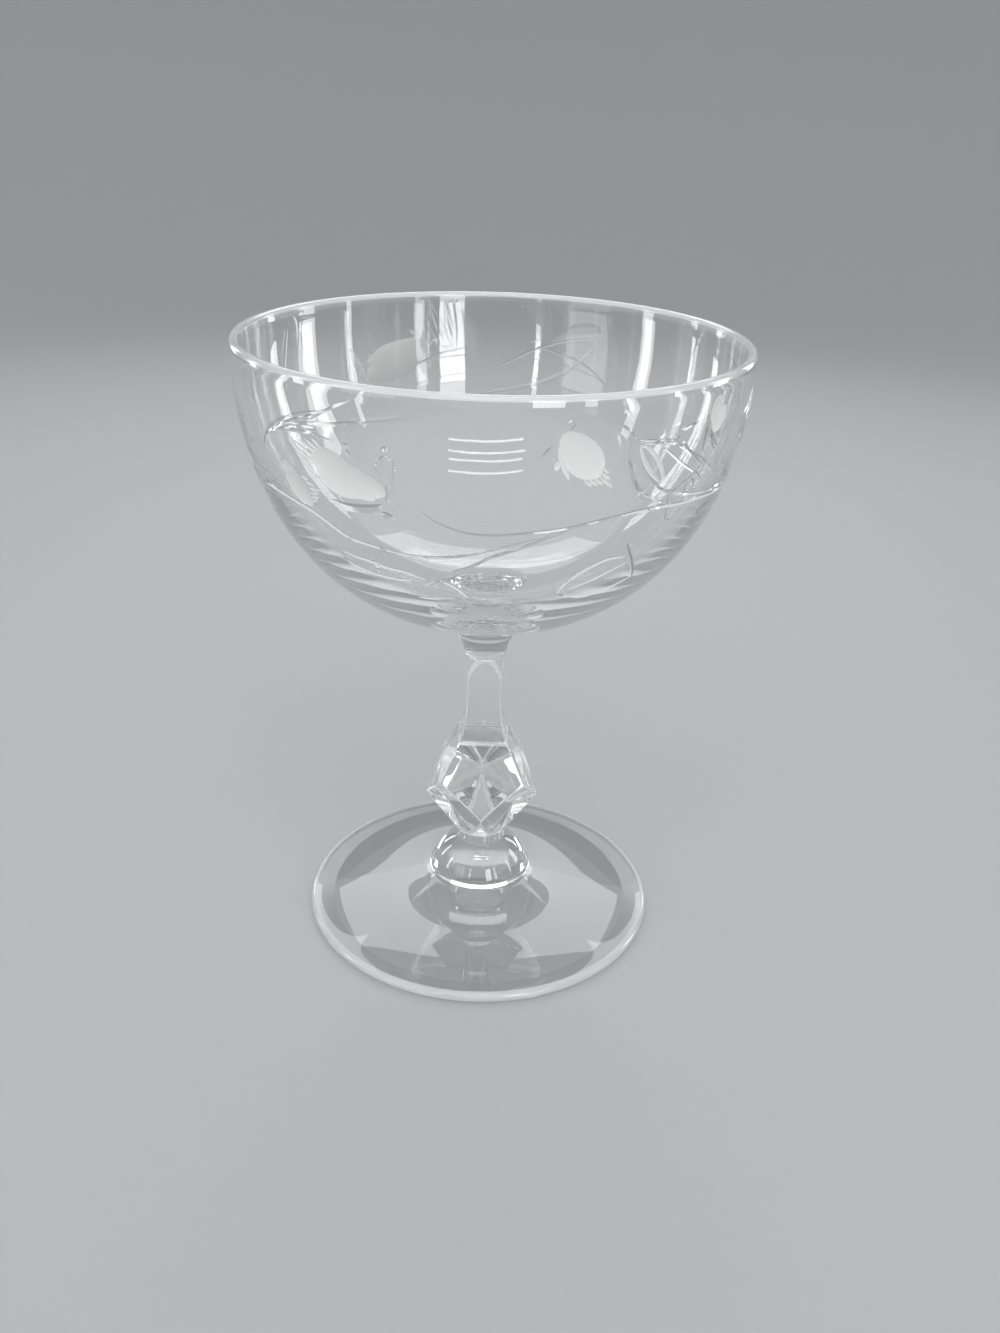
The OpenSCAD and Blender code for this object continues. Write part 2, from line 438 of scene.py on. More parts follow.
def stemShape(size, blank):
    # distances of the cuts from the axis at a height, and the blank's radius there
    half = size["girdleWidth"] / 2
    halfTurn = cos(pi / 4)
    bite = (size["shoulderWidth"] - size["neckWidth"]) / 2 - size["shoulderStep"]
    drop = size["neckHeight"] - size["shoulderHeight"]
    neckWheel = (drop ** 2 + bite ** 2) / (2 * bite)
    rise = size["shoulderHeight"] - size["girdleHeight"]
    lean = (half - size["shoulderWidth"] / 2) / rise
    high, low = half * halfTurn, size["waistRadius"] * size["lowerRunOut"]
    run, lift = high - low, size["girdleHeight"] - size["waistHeight"]
    chord = hypot(run, lift)
    reach = sqrt(size["lowerWheel"] ** 2 - chord ** 2 / 4)
    wheelX = (high + low) / 2 + reach * lift / chord
    wheelZ = (size["girdleHeight"] + size["waistHeight"]) / 2 - reach * run / chord
    knopRadius = half * blank["knop"]
    coneSlope = (half * blank["girdle"] - size["waistRadius"]) / lift
    coneTop = size["waistHeight"] + (knopRadius - size["waistRadius"]) / coneSlope
    knopTop = size["shoulderHeight"] - rise * blank["knopTop"]
    shoulderRadius = size["shoulderWidth"] / 2 / halfTurn * blank["shoulder"]

    def neckCut(z):
        return size["neckWidth"] / 2 + neckWheel - sqrt(neckWheel ** 2 - (z - size["neckHeight"]) ** 2)

    def upperCut(z):
        return size["shoulderWidth"] / 2 + (size["shoulderHeight"] - z) * lean

    def lowerCut(z):
        return wheelX - sqrt(max(size["lowerWheel"] ** 2 - (z - wheelZ) ** 2, 0))

    def blankRadius(z):
        if z <= size["waistHeight"]:
            return size["waistRadius"]
        if z <= coneTop:
            return size["waistRadius"] + (z - size["waistHeight"]) * coneSlope
        if z <= knopTop:
            return knopRadius
        if z <= size["shoulderHeight"]:
            taper = (shoulderRadius - knopRadius) * (z - knopTop)
            return knopRadius + taper / (size["shoulderHeight"] - knopTop)
        if z <= size["flareHeight"]:
            share = (z - size["shoulderHeight"]) / (size["flareHeight"] - size["shoulderHeight"])
            return shoulderRadius + (size["flareRadius"] - shoulderRadius) * share
        share = (z - size["flareHeight"]) / (size["topHeight"] - size["flareHeight"])
        return size["flareRadius"] + (size["topRadius"] - size["flareRadius"]) * share ** size["flarePower"]

    return neckCut, upperCut, lowerCut, blankRadius


def makeStem(size, blank):
    neckCut, upperCut, lowerCut, blankRadius = stemShape(size, blank)
    none, tiny = 1e3, 1e-6  # no cut here, and the least share that a radius is divided by
    waistBand, knopBand, neckBand = range(3)
    ledge, cap = -1, -2  # flat faces between two bands, and the two ends
    quarter = pi / 4
    sharp = size["edgeSharpness"]

    def cuts(band, z):
        # flats that face the four sides, flats turned half a step, and the round blank
        if band == waistBand:
            return none, none, size["waistRadius"]
        if band == knopBand:
            return upperCut(z), lowerCut(z), blankRadius(z)
        if band == neckBand:
            return neckCut(z), none, blankRadius(z)
        return none, none, blankRadius(z)

    def reaches(band, turn, z):
        # distance from the axis to each cut in this direction, nearest first
        side, corner, uncut = cuts(band, z)
        turn = abs((turn + quarter) % (2 * quarter) - quarter)
        flats = [side / max(cos(t), tiny) for t in (turn, 2 * quarter - turn)]
        turnedFlats = [corner / max(cos(t), tiny) for t in (quarter - turn, quarter + turn)]
        return sorted(flats + turnedFlats + [uncut])

    def radiusAt(band, turn, z):
        # nearest of the cuts, with the meeting edges eased
        reach = reaches(band, turn, z)
        return reach[0] - log(sum(exp(-sharp * (v - reach[0])) for v in reach)) / sharp

    def pointAt(band, turn, z):
        r = radiusAt(band, turn, z)
        return Vector((r * cos(turn), r * sin(turn), z))

    def breaks(band, z):
        # turns, within an eighth of the round, where one cut gives way to the next
        side, corner, uncut = cuts(band, z)
        first = acos(side / uncut) if side < uncut else 0
        last = quarter - acos(corner / uncut) if corner < uncut else quarter
        if first > last:
            first = last = atan2(corner - side * cos(quarter), side * sin(quarter))
        first = min(max(first, 0), quarter)
        return first, min(max(last, first), quarter)

    def ringTurns(band, z):
        first, last = breaks(band, z)
        eighth = []
        for start, end in ((0, first), (first, last), (last, quarter)):
            eighth += [start + (end - start) * s for s in stemShares]
        eighth.append(quarter)
        around = []
        for side in range(4):
            around += [side * 2 * quarter + t for t in eighth[:-1]]
            around += [(side + 1) * 2 * quarter - t for t in reversed(eighth[1:])]
        return around

    limits = [size[key] for key in ("lowHeight", "waistHeight", "shoulderHeight", "flareHeight", "topHeight")]
    shape = bmesh.new()
    bandLayer = shape.faces.layers.int.new("band")
    above = None
    for band, count in enumerate(stemRows.values()):
        for row in range(count + 1):
            z = limits[band] + (limits[band + 1] - limits[band]) * row / count
            ring = [shape.verts.new(pointAt(band, t, z)) for t in ringTurns(band, z)]
            if above is not None:
                for i in range(len(ring)):
                    j = (i + 1) % len(ring)
                    face = shape.faces.new((above[i], above[j], ring[j], ring[i]))
                    face[bandLayer] = band if row else ledge
            else:
                shape.faces.new(list(reversed(ring)))[bandLayer] = cap
            above = ring
    shape.faces.new(above)[bandLayer] = cap
    bmesh.ops.remove_doubles(shape, verts=shape.verts, dist=weldDistance)
    bmesh.ops.dissolve_degenerate(shape, dist=sliver, edges=shape.edges)
    stemFinishes = ["acidPolishedCrystal", "fusedJoint", "easedArris"]
    for face in shape.faces:
        face.smooth = True
        band = face[bandLayer]
        face.material_index = stemFinishes.index("fusedJoint" if band == cap else "acidPolishedCrystal")
        # faces on an edge between two cuts, and round the shoulder, get the painted highlight
        if band in (knopBand, neckBand):
            middle = face.calc_center_median()
            reach = reaches(band, atan2(middle.y, middle.x), middle.z)
            onShoulder = abs(middle.z - size["shoulderHeight"]) < size["shoulderBand"]
            if onShoulder or reach[1] - reach[0] < size["arrisBand"]:
                face.material_index = stemFinishes.index("easedArris")
    step = 1e-3  # radians and mm, to feel the slope beside a point

    def normalAt(band, point):
        turn = atan2(point.y, point.x)
        low, high = max(point.z - step, limits[band]), min(point.z + step, limits[band + 1])
        across = pointAt(band, turn + step, point.z) - pointAt(band, turn - step, point.z)
        return across.cross(pointAt(band, turn, high) - pointAt(band, turn, low)).normalized()

    normals = []
    for face in shape.faces:
        band = face[bandLayer]
        for loop in face.loops:
            normals.append(normalAt(band, loop.vert.co) if band >= 0 else face.normal.copy())
    mesh = bpy.data.meshes.new("stem")
    shape.to_mesh(mesh)
    shape.free()
    for finish in stemFinishes:
        mesh.materials.append(materials[finish])
    mesh.normals_split_custom_set(normals)
    addPiece("cutStem", mesh, "stem")


makeStem(stem, stemBlank)

# bowl: wide round bowl with a fire-polished lip
bowl = {
    "radius": 46.0, "topHeight": 120.0, "seatHeight": 67.1, "seatRadius": 8.5,
    "rimWall": 1.7, "floor": 3.6, "fullness": 2.2, "stepsAround": 240, "stepsUp": 72, "lipSteps": 12,
}
lipHeight = bowl["topHeight"] - bowl["rimWall"] / 2
bowlDepth = (lipHeight - bowl["seatHeight"]) / (
    1 - (bowl["seatRadius"] / bowl["radius"]) ** bowl["fullness"]
) ** (1 / bowl["fullness"])


def bowlCurve(radius, depth, start, end, steps):
    power = 2 / bowl["fullness"]
    turns = [start + (end - start) * i / steps for i in range(steps + 1)]
    return [(radius * abs(cos(t)) ** power, lipHeight - depth * abs(sin(t)) ** power) for t in turns]


def bowlOutline(size):
    seatTurn = acos((size["seatRadius"] / size["radius"]) ** (size["fullness"] / 2))
    lip = size["rimWall"] / 2
    inner = lipHeight - size["seatHeight"] - size["floor"]
    outside = bowlCurve(size["radius"], bowlDepth, seatTurn, 0, size["stepsUp"])
    edge = arc(size["radius"] - lip, lipHeight, lip, 0, 180, size["lipSteps"])
    inside = bowlCurve(size["radius"] - size["rimWall"], inner, 0, pi / 2, size["stepsUp"])
    return [(0, size["seatHeight"])] + outside + edge[1:-1] + inside[:-1] + [(0, inside[-1][1])]


def bowlNormal(point):
    # outward direction of the outer wall
    power = bowl["fullness"] - 1
    r = hypot(point.x, point.y)
    out = (r / bowl["radius"]) ** power / bowl["radius"]
    down = (max(lipHeight - point.z, 0) / bowlDepth) ** power / bowlDepth
    return Vector((out * point.x / r, out * point.y / r, -down)).normalized()


def onBowl(turn, height):
    # point on the outer wall: turn in degrees from the front, to the right, and height in mm
    share = max(lipHeight - height, 0) / bowlDepth
    r = bowl["radius"] * (1 - share ** bowl["fullness"]) ** (1 / bowl["fullness"])
    return Vector((r * sin(radians(turn)), -r * cos(radians(turn)), height))


# wheels, named for the kind of cut each makes in the ornament; depth is a share of the half width, and the
# edge's rise a share of the depth
wheels = {
    # mitred wheel, polished and not
    "lines": {"depth": 0.42, "edgeRise": 0.3, "facets": 3, "finish": "polishedWheelCut"},
    "greyLines": {"depth": 0.42, "edgeRise": 0.3, "facets": 3, "finish": "greyGroundCut"},
    # rounded stone, polished and not
    "hollows": {"depth": 0.12, "edgeRise": 0.69, "facets": 17, "finish": "polishedWheelCut"},
    "petals": {"depth": 0.15, "edgeRise": 0.69, "facets": 17, "finish": "greyGroundCut"},
}
cutting = {
    "spacing": 0.45,  # mm between the points along a cut
    "leastSteps": 4, "curveSteps": 24,  # along a whole cut, and between two points of its path
    "leastHalfWidth": 0.2,  # mm, at the tip of a petal
    "leastTaper": 0.02, "taperPower": 0.4,  # how a line thins out at its ends
    "overshoot": 1.3,  # width of the wheel's edge, as a share of the cut's
}
wallCrease = radians(32)  # edges sharper than this stay hard
sameSide = 0.9  # agreement with the outer wall's direction, from which a face belongs to it

# ornament: each motif has the turns it is cut at, petals and hollows as (turn, height, half width) and
# lines as (half width, path); turns are degrees from the front, heights are mm
ornament = {
    "largeBud": {
        "turns": (0, 121),
        "petals": [
            [(-38, 106.6, 0.4), (-37.1, 106.8, 1.7), (-35.5, 106.7, 3.0), (-33.3, 105.9, 3.75),
             (-30.5, 104.8, 3.7), (-27.5, 104.4, 2.95), (-24.4, 103.9, 2.25), (-22.2, 103.4, 1.7),
             (-21.7, 102.8, 0.6)],
        ],
        "greyLines": [
            # fringe along the tip
            (0.31, [(-35.1, 109.3), (-37.2, 110.4)]),
            (0.31, [(-35.7, 108.7), (-39, 109.9)]),
            (0.34, [(-36.4, 108.1), (-40.8, 109.7)]),
            (0.36, [(-37.1, 107.3), (-42.4, 109.2)]),
            (0.45, [(-37.8, 106.6), (-41.8, 108), (-44.3, 109.2)]),
            (0.36, [(-38, 105.9), (-42, 107.3)]),
            (0.36, [(-37.9, 105.3), (-41.6, 106.6)]),
            (0.36, [(-37.6, 104.6), (-41.3, 105.8)]),
            (0.34, [(-37, 103.9), (-40.1, 104.8)]),
        ],
        "lines": [
            # sepal under the bud, and the small cuts round its base
            (0.85, [(-34, 100.6), (-31, 100), (-26.8, 100.2), (-23.6, 100.8), (-21.9, 101.5)]),
            (0.5, [(-29.7, 110.7), (-27.9, 110.1)]),
            (0.45, [(-28.9, 109.5), (-27.7, 108.7)]),
            (0.5, [(-21.1, 110.9), (-19.3, 110.6)]),
            (0.28, [(-20.4, 109.8), (-22, 108.6), (-22.3, 107.3), (-21.4, 106.3)]),
            (0.28, [(-20.4, 109.8), (-18.8, 109), (-18.6, 107.4), (-19.1, 105.7), (-20.5, 104.6)]),
            (0.55, [(-20.7, 104.9), (-20.2, 103.6), (-20.7, 102)]),
            (0.7, [(-22.4, 100.1), (-21.1, 99.7), (-19.6, 99.3)]),
            # shoots above the bud
            (0.34, [(-54.4, 106.7), (-52.8, 108.2), (-50.7, 109.2), (-48.1, 110.1), (-43.2, 110.8),
                    (-40.2, 111), (-37.3, 111.2), (-34.8, 111), (-32, 110.8)]),
            (0.26, [(-48.1, 110.1), (-45.4, 111.1), (-39.9, 112.2), (-34.5, 113), (-28.4, 113.9),
                    (-23, 114.6), (-18.9, 115.3), (-16.1, 115.8)]),
            (0.32, [(-48, 110.4), (-45.2, 111.6), (-39.8, 113.2), (-36.9, 113.9), (-34.5, 114.7),
                    (-30.5, 116.3), (-27.5, 117.4)]),
        ],
    },
    "smallBud": {
        "turns": (0, 121),
        "petals": [
            [(-47.6, 102.3, 0.9), (-47, 102.2, 1.6), (-45.9, 101.9, 2.3), (-44.6, 101.1, 2.55),
             (-43.3, 100.2, 2.5), (-42.2, 99.3, 1.95), (-41.5, 98.7, 1.2), (-41.4, 98.2, 0.5)],
            [(-48.5, 104.3, 0.4), (-47.4, 104.1, 1.15), (-46.3, 104.1, 1.1), (-45.2, 104, 0.8),
             (-44.1, 104, 0.3)],
        ],
        "greyLines": [
            # fringe
            (0.34, [(-42.2, 103.3), (-40.1, 103.1)]),
            (0.34, [(-41.2, 102.6), (-38.4, 102.2)]),
            (0.34, [(-40.5, 101.5), (-36.9, 101.7)]),
            (0.31, [(-40.5, 100.7), (-37.7, 101)]),
            (0.31, [(-40.4, 100), (-38, 100.3)]),
            (0.31, [(-40.6, 99.3), (-38.6, 99.6)]),
        ],
    },
    "roundBud": {
        "turns": (0, -107),
        "petals": [
            [(12.8, 113.8, 0.6), (13.5, 113.6, 1.5), (14.3, 113, 2.2), (15.8, 111.9, 2.85),
             (17.4, 110.7, 3.15), (18.9, 109.5, 2.95), (20.3, 108.3, 2.1), (21.1, 107.6, 0.9),
             (21.4, 107.4, 0.5)],
        ],
        "greyLines": [
            # fringe at the tip
            (0.31, [(18.1, 107), (20.2, 105.8)]),
            (0.31, [(19.2, 107.1), (21.2, 105.9)]),
            (0.31, [(20.4, 107.1), (22.2, 106.1)]),
            (0.39, [(21.4, 107.4), (24.6, 105.4)]),
            (0.31, [(21.6, 108), (23.8, 106.8)]),
            (0.31, [(21.8, 108.7), (23.3, 107.8)]),
            # sepals
            (0.42, [(12.6, 111.7), (13.2, 110.4), (14, 109), (15.1, 107.2)]),
            (0.5, [(12.6, 110.2), (12.4, 108.7)]),
        ],
        "lines": [
            (0.3, [(9.3, 110.7), (10.2, 111.5), (11.2, 112.5)]),
            (0.28, [(14.6, 114.8), (15.2, 115.3), (15.7, 115.9)]),
        ],
    },
    "openLeaf": {
        "turns": (0,),
        "greyLines": [
            # ring
            (0.45, [(29.6, 111.6), (31.1, 111.3), (32.7, 110.3), (34.4, 108.9), (36, 107), (36.7, 105.6),
                    (36.1, 105)]),
            (0.45, [(29.6, 111.6), (30, 110.5), (31.2, 108.9), (32.8, 107.2), (34.8, 105.8), (36.1, 105)]),
        ],
        "lines": [
            # edges and veins
            (0.32, [(29.4, 110.5), (30.2, 109), (31.5, 107.4), (33.6, 105.7), (35.9, 104.2), (38.9, 103),
                    (43.4, 101.9), (51.6, 100.7), (58.1, 100)]),
            (0.7, [(27.2, 112.3), (27.1, 110.4), (27.8, 107.9), (29.1, 105.7), (31.4, 103.7), (34.6, 102.1),
                   (38.3, 101.2)]),
            (0.26, [(28.5, 112.5), (31.1, 112.3), (34.1, 112.1), (37.2, 111.8), (38.8, 111.9),
                    (39.5, 112.6)]),
            (0.28, [(29.3, 112.1), (32.9, 111.7), (36.2, 111.6), (38.6, 110.9), (41.5, 109.8),
                    (45.3, 107.9), (49.7, 105.7)]),
            (0.26, [(34.5, 111.3), (37.2, 109.8), (41.4, 107.5), (44.6, 106), (47.6, 104.8),
                    (49.5, 103.6)]),
            (0.38, [(40.4, 111.2), (42.4, 109.6), (44.6, 108.2)]),
            (0.32, [(38.8, 112.9), (41.9, 113.4), (44.4, 113.9)]),
            (0.26, [(24.8, 115.3), (26.7, 114.2), (28.5, 112.7)]),
        ],
    },
    "edgeBud": {
        "turns": (0,),
        "petals": [
            [(52.6, 116.5, 0.4), (51.6, 116.1, 1.7), (51.3, 115.3, 2.5), (51.5, 114, 2.5),
             (51.8, 112.7, 2.1), (52.1, 111.8, 1.4), (52.4, 111.4, 0.4)],
        ],
        "lines": [
            (0.42, [(47.7, 108.4), (47.5, 110.4), (47.8, 112.8), (47.8, 114.9), (49.1, 116.4)]),
            (0.5, [(50.3, 110), (49.3, 111.8)]),
        ],
    },
    "lowVines": {
        "turns": (0,),
        "lines": [
            (0.38, [(-14.2, 101.9), (-11.8, 100.2), (-9.9, 99.4), (-7.8, 98.8), (-5.4, 98.2), (-2.6, 97.9),
                    (0.7, 97.8), (4.8, 98), (8.8, 98.3), (13, 98.6), (16.7, 98.9), (23.2, 99.7),
                    (27.7, 100.1), (32.6, 100.4), (38.2, 100.4), (44.6, 100), (53.5, 99.6), (63, 98.9),
                    (76, 97.6), (92, 96.2), (108, 95.4), (122, 95.8)]),
            (0.38, [(-126, 98.4), (-112, 99.6), (-96, 100.2), (-80, 99.6), (-63.4, 98.7), (-50.9, 98.3),
                    (-41.7, 97.2), (-35.7, 95.2), (-32.1, 94), (-24.5, 93.3), (-16.2, 92.8), (-11.6, 93),
                    (-7.8, 93.4), (-3.4, 94.1), (0.4, 95), (4.5, 96), (8.6, 96.9), (12.7, 97.8),
                    (17.2, 98.7)]),
            (0.36, [(-18.6, 83.8), (-15.5, 86.1), (-11.2, 88.4), (-7.4, 90.2), (-2.8, 92.1), (0.4, 93.6),
                    (3.6, 94.6), (7.1, 95.6), (11.7, 97.1), (17.2, 98.7)]),
            # small leaf at the root of the third vine
            (0.36, [(-18.4, 83.6), (-12.3, 83.8), (-6.1, 84.6)]),
            (0.36, [(-11.2, 88.2), (-8.5, 87.3), (-6.4, 86), (-5, 84.7)]),
        ],
    },
    "leftLeaf": {
        "turns": (0, -62),
        "lines": [
            (0.4, [(-36.6, 90.8), (-32.6, 90.3), (-28.5, 90), (-24.7, 89.4), (-20.9, 89.2), (-17.3, 88.6),
                   (-14.7, 88)]),
            (0.36, [(-36.6, 90.8), (-35.4, 88.5), (-31.4, 87.6), (-26.7, 87.2), (-21.2, 87.2),
                    (-14.7, 88)]),
            (0.42, [(-27.4, 90.6), (-26.9, 89.3), (-26.9, 87.8)]),
        ],
    },
    "rightLeaf": {
        "turns": (0, 62),
        "lines": [
            (0.42, [(17.6, 85.4), (19, 87.6), (22, 89.7), (26.3, 91.4), (29.5, 91.9), (33.3, 91.7)]),
            (0.36, [(17.6, 85.4), (25.3, 83.8), (31.5, 84.6), (36.4, 85.6), (39.5, 86.7)]),
            (0.36, [(34.2, 94), (32.3, 94.3), (33.1, 93), (35.6, 90.6), (38.1, 88), (40, 85.9)]),
            (0.28, [(20, 86.1), (25.8, 87.5), (30.4, 89.1), (34.6, 90.3)]),
        ],
    },
    "backBud": {
        "turns": (0,),
        "petals": [
            [(-143.6, 104.5, 0.5), (-144.8, 104.3, 2.05), (-146.7, 105, 3.05), (-150, 105.9, 4.0),
             (-153.4, 106.5, 4.1), (-156.6, 107.5, 3.5), (-159.4, 108.5, 2.6), (-161.1, 109.2, 1.5),
             (-161.9, 109.3, 0.5)],
        ],
        "greyLines": [
            # fringe at the tip
            (0.34, [(-158.9, 110.9), (-156.8, 112.4)]),
            (0.34, [(-160, 110.7), (-158.4, 112.3)]),
            (0.34, [(-161.1, 110.2), (-160.4, 112.1)]),
            (0.34, [(-161.9, 109.6), (-162.3, 111.4)]),
            (0.34, [(-162.4, 108.8), (-163.9, 110.4)]),
            # sepal
            (0.62, [(-138.8, 109.5), (-140.9, 107.1), (-142.6, 104.6), (-144.3, 102.1), (-146.1, 100.3)]),
        ],
        "lines": [
            # stem
            (0.34, [(-156.3, 104.3), (-159.8, 105.4), (-162.6, 106.3), (-165.4, 107.2), (-168.7, 107.8),
                    (-173.1, 108.5)]),
        ],
    },
    "backLeaf": {
        "turns": (0,),
        "hollows": [
            [(166.1, 109.5, 0.3), (164.4, 110.3, 0.5), (161.7, 111.5, 1.0), (158.7, 112.6, 1.5),
             (155.5, 113.2, 1.75), (152.5, 113.4, 1.5), (150.6, 113.3, 0.5)],
        ],
        "greyLines": [
            (0.5, [(183.5, 98.9), (177.9, 99.7), (172.3, 100.6), (166.8, 101.7), (162.7, 103.2),
                   (158.7, 105), (156.1, 106.8), (153.5, 108.9), (151.8, 110.9), (150.6, 112.2)]),
        ],
        "lines": [
            (0.34, [(179.2, 104.5), (175.5, 105.8), (172.3, 107.1), (169.9, 108.1), (166.7, 109.1),
                    (163.2, 110.1), (159.5, 111), (155.3, 111.6), (150.6, 112.2)]),
            (0.34, [(168, 108.8), (164.7, 108.6), (161.3, 107.9), (156.7, 106.9), (153.6, 105.9),
                    (151.1, 104.8), (147.7, 103)]),
        ],
    },
}


def smoothPath(points):
    # even points on a smooth curve through the given ones; every point holds turn, height and half width
    ends = [points[0]] + list(points) + [points[-1]]
    fine = []
    for a, b, c, d in zip(ends, ends[1:], ends[2:], ends[3:]):
        for i in range(cutting["curveSteps"]):
            t = i / cutting["curveSteps"]
            fine.append(tuple(
                0.5 * (
                    2 * q + (r - p) * t + (2 * p - 5 * q + 4 * r - s) * t * t
                    + (3 * q - p - 3 * r + s) * t ** 3
                )
                for p, q, r, s in zip(a, b, c, d)
            ))
    fine.append(tuple(points[-1]))
    places = [onBowl(p[0], p[1]) for p in fine]
    along = [0]
    for one, two in zip(places, places[1:]):
        along.append(along[-1] + (two - one).length)
    count = max(int(along[-1] / cutting["spacing"]), cutting["leastSteps"])
    result, k = [], 0
    for i in range(count + 1):
        goal = along[-1] * i / count
        while k < len(along) - 2 and along[k + 1] < goal:
            k += 1
        share = (goal - along[k]) / max(along[k + 1] - along[k], sliver)
        values = [p + (q - p) * share for p, q in zip(fine[k], fine[k + 1])]
        result.append((*values, i / count))
    return result


def cutPaths(kind, motifs):
    # every cut of one kind, as lists of (place, half width)
    def thinned(halfWidth, share):
        return halfWidth * max(sin(pi * share), cutting["leastTaper"]) ** cutting["taperPower"]

    paths, tip = [], cutting["leastHalfWidth"]
    for motif in motifs.values():
        for turn in motif["turns"]:
            for cut in motif.get(kind, []):
                if kind in ("petals", "hollows"):
                    path = smoothPath([(a + turn, h, w) for a, h, w in cut])
                    paths.append([(onBowl(a, h), max(w, tip)) for a, h, w, share in path])
                else:
                    halfWidth, line = cut
                    path = smoothPath([(a + turn, h, halfWidth) for a, h in line])
                    paths.append([(onBowl(a, h), thinned(w, share)) for a, h, w, share in path])
    return paths


def pathMesh(paths):
    places, widths, edges = [], [], []
    for path in paths:
        first = len(places)
        places += [place for place, width in path]
        widths += [width for place, width in path]
        edges += [(first + i, first + i + 1) for i in range(len(path) - 1)]
    mesh = bpy.data.meshes.new("cutPaths")
    mesh.from_pydata(places, edges, [])
    halfWidth = mesh.attributes.new("halfWidth", "FLOAT", "POINT")
    outward = mesh.attributes.new("outward", "FLOAT_VECTOR", "POINT")
    for i, place in enumerate(places):
        halfWidth.data[i].value = widths[i]
        outward.data[i].vector = bowlNormal(place)
    return mesh


def makeWheelTree():
    # sweeps a wheel's edge along each path, standing on the wall, as wide as the path says
    tree, given = newTree("wheelCutter", {
        "Depth": "NodeSocketFloat",
        "Edge Rise": "NodeSocketFloat",
        "Facets": "NodeSocketInt",
        "Finish": "NodeSocketMaterial",
    })
    reach = cutting["overshoot"]
    width = addNode(tree, "GeometryNodeInputNamedAttribute", {"data_type": "FLOAT"}, {"Name": "halfWidth"})
    outward = addNode(tree, "GeometryNodeInputNamedAttribute", {"data_type": "FLOAT_VECTOR"}, {
        "Name": "outward",
    })
    path = addNode(tree, "GeometryNodeMeshToCurve", None, {"Mesh": given["Geometry"]})
    guided = addNode(tree, "GeometryNodeSetCurveNormal", {"mode": "FREE"}, {
        "Curve": path.outputs["Curve"], "Normal": outward.outputs["Attribute"],
    })
    rise = addNode(tree, "ShaderNodeMath", {"operation": "MULTIPLY"}, {
        0: given["Depth"], 1: given["Edge Rise"],
    })
    sunk = addNode(tree, "ShaderNodeMath", {"operation": "MULTIPLY"}, {0: given["Depth"], 1: -1.0})
    left = addNode(tree, "ShaderNodeCombineXYZ", None, {"X": rise.outputs["Value"], "Y": -reach})
    deep = addNode(tree, "ShaderNodeCombineXYZ", None, {"X": sunk.outputs["Value"]})
    right = addNode(tree, "ShaderNodeCombineXYZ", None, {"X": rise.outputs["Value"], "Y": reach})
    edge = addNode(tree, "GeometryNodeCurveArc", {"mode": "POINTS"}, {
        "Resolution": given["Facets"],
        "Start": left.outputs["Vector"], "Middle": deep.outputs["Vector"], "End": right.outputs["Vector"],
    })
    closed = addNode(tree, "GeometryNodeSetSplineCyclic", None, {
        "Geometry": edge.outputs["Curve"], "Cyclic": True,
    })
    swept = addNode(tree, "GeometryNodeCurveToMesh", None, {
        "Curve": guided.outputs["Curve"],
        "Profile Curve": closed.outputs["Geometry"],
        "Scale": width.outputs["Attribute"],
        "Fill Caps": True,
    })
    outwards = addNode(tree, "GeometryNodeFlipFaces", None, {"Mesh": swept.outputs["Mesh"]})
    return dressTree(tree, outwards.outputs["Mesh"], {"Material": given["Finish"]})


def makeEngraveTree():
    # takes every cutter out of the wall, one after another
    tree, given = newTree("engravedWall", {"Cutters": "NodeSocketObject", "Finish": "NodeSocketMaterial"})
    source = addNode(tree, "GeometryNodeObjectInfo", None, {"Object": given["Cutters"]})
    island = addNode(tree, "GeometryNodeInputMeshIsland")
    apart = addNode(tree, "GeometryNodeSplitToInstances", {"domain": "FACE"}, {
        "Geometry": source.outputs["Geometry"], "Group ID": island.outputs["Island Index"],
    })
    cut = addNode(tree, "GeometryNodeMeshBoolean", {"operation": "DIFFERENCE", "solver": "MANIFOLD"}, {
        "Mesh 1": given["Geometry"], "Mesh 2": apart.outputs["Instances"],
    })
    index = addNode(tree, "GeometryNodeInputMaterialIndex")
    wall = addNode(tree, "FunctionNodeCompare", {"data_type": "INT", "operation": "EQUAL"}, {
        2: index.outputs["Material Index"], 3: 0,  # the sockets for whole numbers
    })
    # the cuts keep the finish of their wheel
    return dressTree(tree, cut.outputs["Mesh"], {
        "Selection": wall.outputs["Result"], "Material": given["Finish"],
    })


def makeBowl(size):
    mesh = turned(bowlOutline(size), size["stepsAround"], "firePolishedCrystal")
    wheelTree = makeWheelTree()
    engraveTree = makeEngraveTree()
    for kind, wheel in wheels.items():
        paths = cutPaths(kind, ornament)
        cutterMesh = runTree(wheelTree, pathMesh(paths), {
            "Depth": wheel["depth"], "Edge Rise": wheel["edgeRise"],
            "Facets": wheel["facets"], "Finish": materials[wheel["finish"]],
        })
        cutter = bpy.data.objects.new("wheel", cutterMesh)
        scene.collection.objects.link(cutter)
        mesh = runTree(engraveTree, mesh, {"Cutters": cutter, "Finish": materials["firePolishedCrystal"]})
        bpy.data.objects.remove(cutter)
        print("engraved", kind + ":", len(paths), "cuts,", len(mesh.polygons), "faces")
    markFaces(mesh, "fusedJoint", lambda c, n: c.z < size["seatHeight"] + touch)
    smoothFaces(mesh, wallCrease)
    # the lip gets the rim finish, whose white share paints a bright line
    markFaces(mesh, "meltedRim", lambda c, n: c.z > lipHeight)
    wallIndex = mesh.materials.find("firePolishedCrystal")
    normals = []
    for face in mesh.polygons:
        onWall = face.material_index == wallIndex and face.normal.dot(bowlNormal(face.center)) > sameSide
        for corner in face.vertices:
            place = mesh.vertices[corner].co
            normals.append(bowlNormal(place) if onWall and place.z < lipHeight else (0, 0, 0))
    mesh.normals_split_custom_set(normals)
    addPiece("engravedBowl", mesh, "bowl")


makeBowl(bowl)

